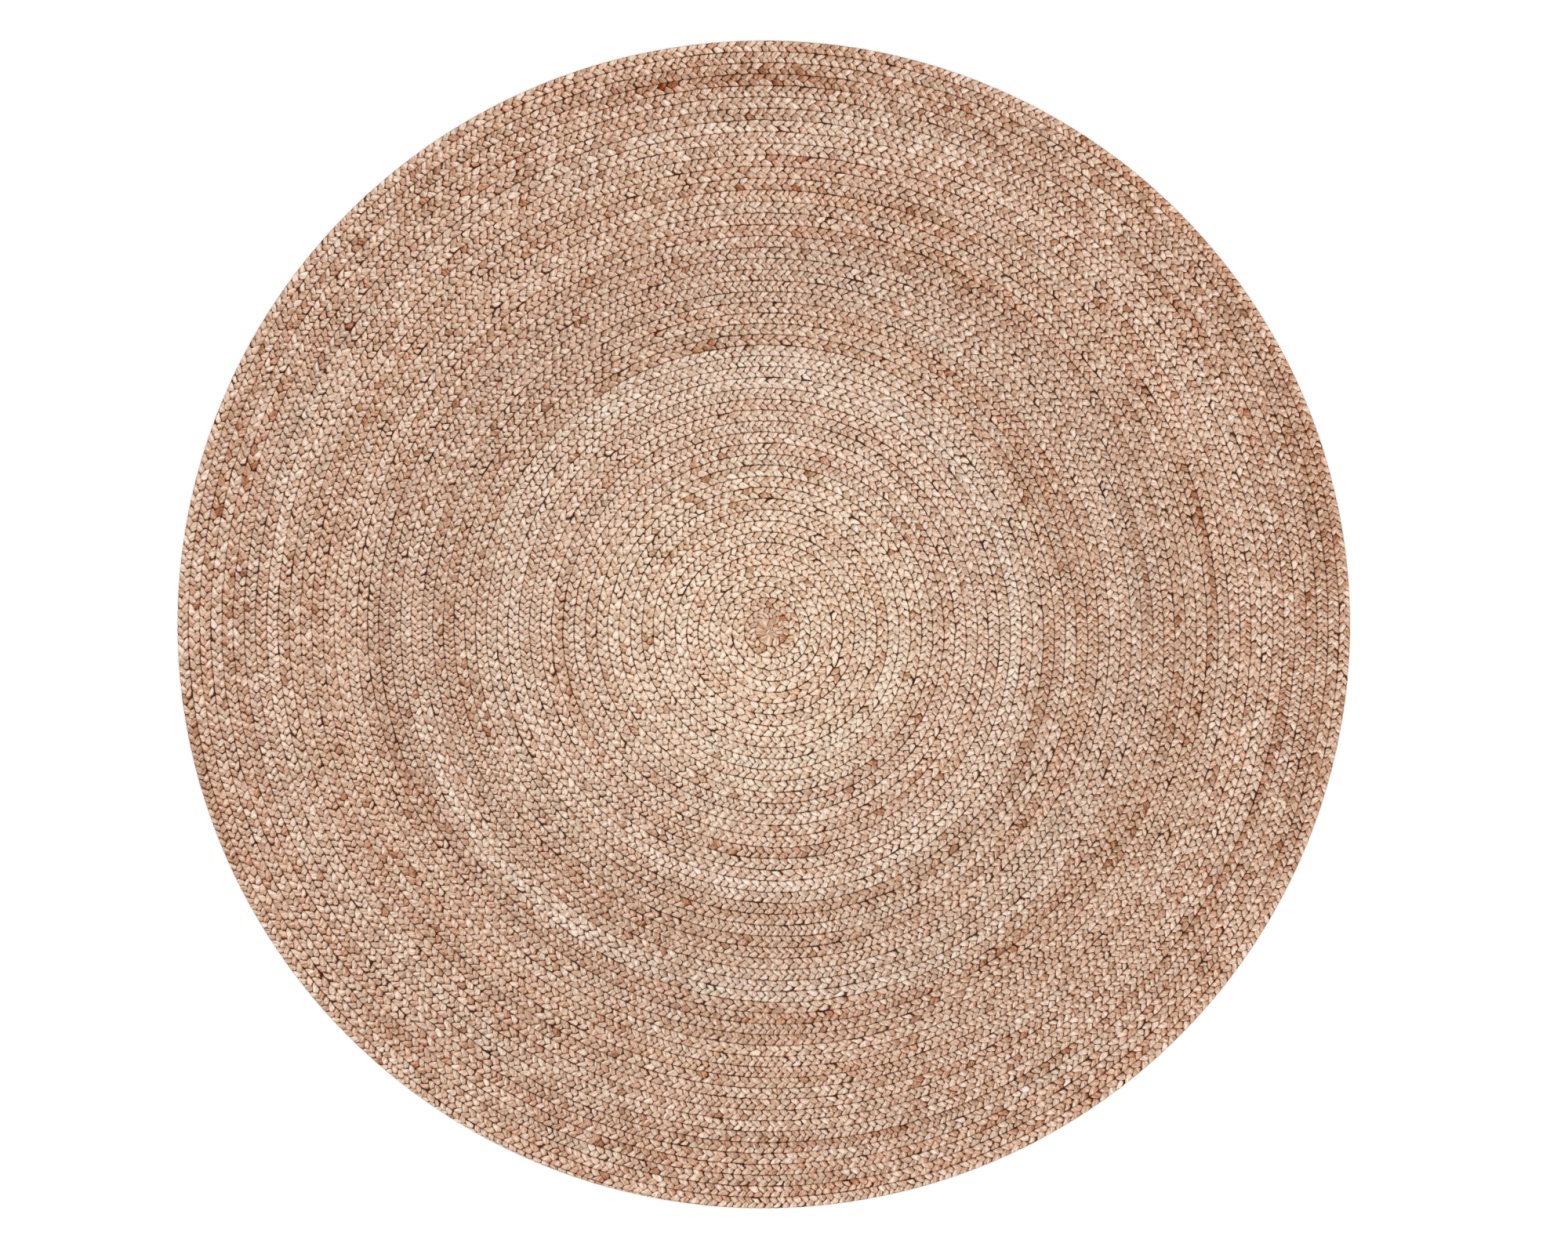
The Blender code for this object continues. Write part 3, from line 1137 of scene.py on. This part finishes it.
def jute_yarn(looks):
    """Combed jute: mottled lump by lump, streaked along the strand, with painted shade between the
    lumps.
    """
    material = bpy.data.materials.new("plaited_jute")
    nodes = Nodes(material)
    lump = LumpOutputs(nodes)
    fibres = comb_fibres(nodes, lump)
    blotches = blotch_lumps(nodes, lump)
    slit = open_slit(nodes, lump)
    wobble = nodes.math("MULTIPLY_ADD", slit, SLIT_WIDTH, nodes.spread(blotches, *GAP_WOBBLE))
    gap, pit = lump_edge(nodes, lump, wobble, painted_seam_shade(nodes, lump))
    tone = top_tone(nodes, lump, fibres, blotches, looks)
    # Painted shade: the gaps and pits round each lump are darkened
    tone = nodes.math("MULTIPLY_ADD", gap, gap_depth(nodes, lump, slit, looks), tone)
    tone = nodes.math("MULTIPLY_ADD", pit, pit_depth(nodes, lump, looks), tone)
    tone = nodes.math("MAXIMUM", tone, DARKEST_TONE)
    tinted = nodes.add("ShaderNodeHueSaturation")
    nodes.feed(tinted, Color=jute_ramp(nodes, tone), Hue=lump.hue)
    nodes.feed(tinted, Saturation=nodes.math("MULTIPLY_ADD", lump.warmth, WARMTH_SATURATION, 1.0))
    bump = nodes.add("ShaderNodeBump")
    relief = nodes.math("MULTIPLY_ADD", gap, GAP_DIP, fibres)
    nodes.feed(bump, Height=relief, Strength=BUMP_STRENGTH, Distance=BUMP_DEPTH)
    dullest = looks.roughness + ROUGHNESS_SPREAD
    smoothest = looks.roughness - ROUGHNESS_SPREAD
    shader = nodes.shader
    nodes.feed(shader, Base_Color=tinted.outputs["Color"], Normal=bump.outputs["Normal"])
    nodes.feed(shader, Roughness=nodes.spread(fibres, *ROUGHNESS_OVER, dullest, smoothest))
    nodes.feed(shader, Specular_IOR_Level=SPECULAR)
    nodes.feed(shader, Sheen_Weight=looks.sheen, Sheen_Roughness=SHEEN_ROUGHNESS)
    return material


def shared_jute(looks):
    """The jute material, made on first use."""
    return bpy.data.materials.get("plaited_jute") or jute_yarn(looks)


class RUG_OT_plait_top(bpy.types.Operator):
    """Plait the upper side of the braid and wind it into the coil, in four stretches"""

    bl_idname = "rug.plait_top"
    bl_label = "Plait the upper side"

    def execute(self, context):
        settings = context.scene.jute_rug
        sizes, looks = settings.braid, settings.yarn
        plait = plait_strands(sizes)
        form = LumpForm(
            columns=TOP_COLUMNS,
            rows=TOP_ROWS,
            lean=1.0,
            crown=sizes.crown_height,
            middle=sizes.middle_height,
            seam=sizes.seam_height,
            eye=0.0078,
            crown_spread=0.0005,
            tilt=0.0012,
        )
        laid = lay_side(plait, form, sizes, looks, FORM_SEED)
        count = len(plait.outer) - 1
        cuts = [round(count * step / len(STRETCHES)) for step in range(len(STRETCHES) + 1)]
        for name, first, last in zip(STRETCHES, cuts[:-1], cuts[1:]):
            piece = plait_stretch("braid_" + name, first, last, laid, form, shared_jute(looks))
            if len(piece.data.polygons) == 0:
                raise RuntimeError(f"{piece.name} came out empty")
        return {"FINISHED"}


class RUG_OT_plait_underside(bpy.types.Operator):
    bl_idname = "rug.plait_underside"
    bl_label = "Plait the underside"

    def execute(self, context):
        settings = context.scene.jute_rug
        sizes, looks = settings.braid, settings.yarn
        plait = turn_under(plait_strands(sizes), sizes)
        form = LumpForm(
            columns=UNDER_COLUMNS,
            rows=UNDER_ROWS,
            lean=-1.0,
            crown=0.0003,
            middle=0.0030,
            seam=sizes.seam_height,
            eye=0.0012,
            crown_spread=0.0001,
            tilt=0.0,
        )
        laid = lay_side(plait, form, sizes, looks, UNDERSIDE_SEED)
        count = len(plait.outer) - 1
        jute = shared_jute(looks)
        underside = plait_stretch("braid_underside", 0, count, laid, form, jute, facing_down=True)
        return {"FINISHED"}


def lay_floor(looks):
    """A wide plain floor under the rug."""
    mesh = bpy.data.meshes.new("plain_floor")
    corners = [(x * FLOOR_REACH, y * FLOOR_REACH, 0) for x, y in ((-1, -1), (1, -1), (1, 1), (-1, 1))]
    mesh.from_pydata(corners, [], [(0, 1, 2, 3)])
    material = bpy.data.materials.new("pale_floor")
    material.use_nodes = True
    shader = material.node_tree.nodes["Principled BSDF"]
    shader.inputs["Base Color"].default_value = (*looks.floor_colour, 1.0)
    shader.inputs["Roughness"].default_value = FLOOR_ROUGHNESS
    shader.inputs["Specular IOR Level"].default_value = 0.0
    mesh.materials.append(material)
    floor = bpy.data.objects.new("plain_floor", mesh)
    bpy.context.scene.collection.objects.link(floor)


def light_stage(looks):
    """Even white light from all around and one wide soft light from straight overhead."""
    world = bpy.data.worlds.new("even_light")
    world.use_nodes = True
    sky = world.node_tree.nodes["Background"]
    sky.inputs["Color"].default_value = (1.0, 1.0, 1.0, 1.0)
    sky.inputs["Strength"].default_value = looks.sky
    bpy.context.scene.world = world
    lamp = bpy.data.lights.new("soft_overhead", "SUN")
    lamp.angle = OVERHEAD_SPREAD
    lamp.energy = looks.overhead * math.pi
    overhead = bpy.data.objects.new("soft_overhead", lamp)
    overhead.location = (0.0, 0.0, OVERHEAD_HEIGHT)
    bpy.context.scene.collection.objects.link(overhead)


def place_camera(looks):
    """A camera straight above the rug, as far off as its lens needs for the frame's width."""
    camera = bpy.data.cameras.new("from_above")
    camera.sensor_width = SENSOR_WIDTH
    camera.lens = looks.lens
    camera.clip_end = FARTHEST_SEEN
    viewer = bpy.data.objects.new("from_above", camera)
    viewer.location = (*looks.frame_centre, looks.frame_width * looks.lens / camera.sensor_width)
    bpy.context.scene.collection.objects.link(viewer)
    bpy.context.scene.camera = viewer


class RUG_OT_set_stage(bpy.types.Operator):
    """Lay the floor, hang the light and put up the camera"""

    bl_idname = "rug.set_stage"
    bl_label = "Set the stage"

    def execute(self, context):
        looks = context.scene.jute_rug.stage
        lay_floor(looks)
        light_stage(looks)
        place_camera(looks)
        context.scene.view_settings.view_transform = "Standard"
        return {"FINISHED"}


class RUG_PT_sidebar(bpy.types.Panel):
    """Steps and settings of the rug, in the 3D view's sidebar."""

    bl_idname = "RUG_PT_sidebar"
    bl_label = "Jute Rug"
    bl_space_type = "VIEW_3D"
    bl_region_type = "UI"
    bl_category = "Jute Rug"

    def draw(self, context):
        settings = context.scene.jute_rug
        for group in (settings.braid, settings.yarn, settings.stage):
            box = self.layout.box()
            for name in group.bl_rna.properties.keys():
                if name not in ("rna_type", "name"):
                    box.prop(group, name)
        for step in (RUG_OT_plait_top, RUG_OT_plait_underside, RUG_OT_set_stage):
            self.layout.operator(step.bl_idname)


CLASSES = (
    BraidSizes,
    YarnLooks,
    StageLooks,
    RugSettings,
    RUG_OT_plait_top,
    RUG_OT_plait_underside,
    RUG_OT_set_stage,
    RUG_PT_sidebar,
)


def register():
    """Add the rug's classes and its settings on the scene."""
    for item in CLASSES:
        bpy.utils.register_class(item)
    bpy.types.Scene.jute_rug = PointerProperty(type=RugSettings)


def unregister():
    """Take them away again."""
    del bpy.types.Scene.jute_rug
    for item in reversed(CLASSES):
        bpy.utils.unregister_class(item)


def main():
    """Make the whole scene."""
    register()
    bpy.ops.rug.set_stage()
    bpy.ops.rug.plait_top()
    bpy.ops.rug.plait_underside()


if __name__ == "__main__":
    main()
